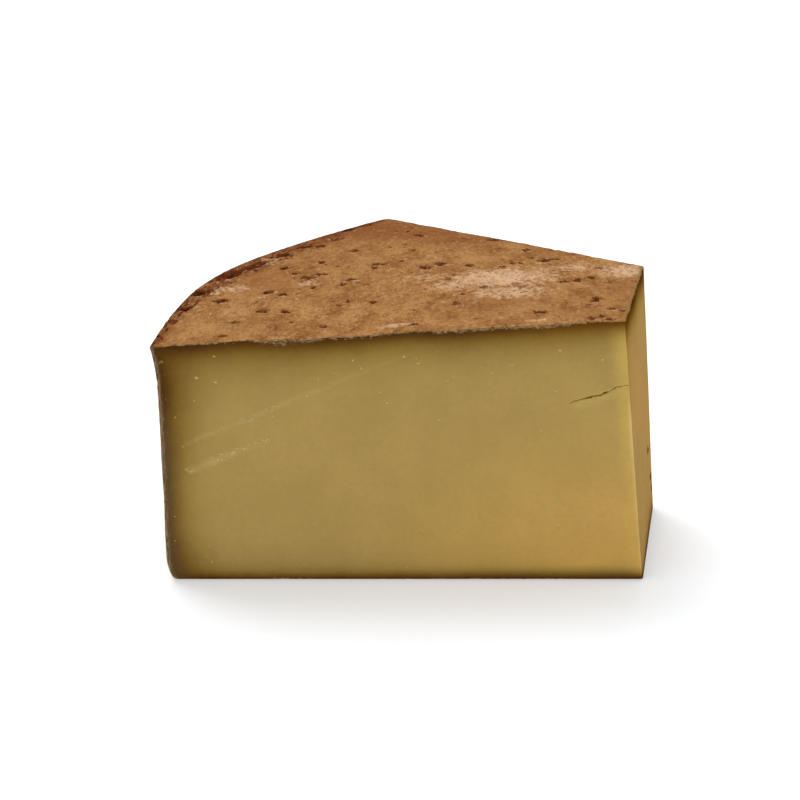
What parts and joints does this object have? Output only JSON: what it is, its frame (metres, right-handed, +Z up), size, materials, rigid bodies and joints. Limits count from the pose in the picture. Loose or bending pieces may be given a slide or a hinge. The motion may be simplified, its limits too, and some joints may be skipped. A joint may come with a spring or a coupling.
{
  "type": "beaufort cheese wedge",
  "caption": "Wedge of beaufort, a hard mountain cheese, cut from a wheel with its nose cut off: pale smooth paste with a fine split, and a brown pitted rind on top, heel and base.",
  "frame": {"origin": "centre of the base, on the surface that the wedge stands on, below the middle of its box", "axes": "+Z up from the base to the top rind; +X towards the nose; the front cut faces -Y and the rounded heel is at -X and +Y"},
  "size_m": [0.2436, 0.2401, 0.1278],
  "materials": {
    "cheese": "smooth, slightly waxy straw-yellow paste on the cuts, and a dry, brown, cloth-marked rind with pits and pale bloom"
  },
  "bodies": {
    "root": {"cheese_wedge": "cheese"}
  },
  "joints": []
}
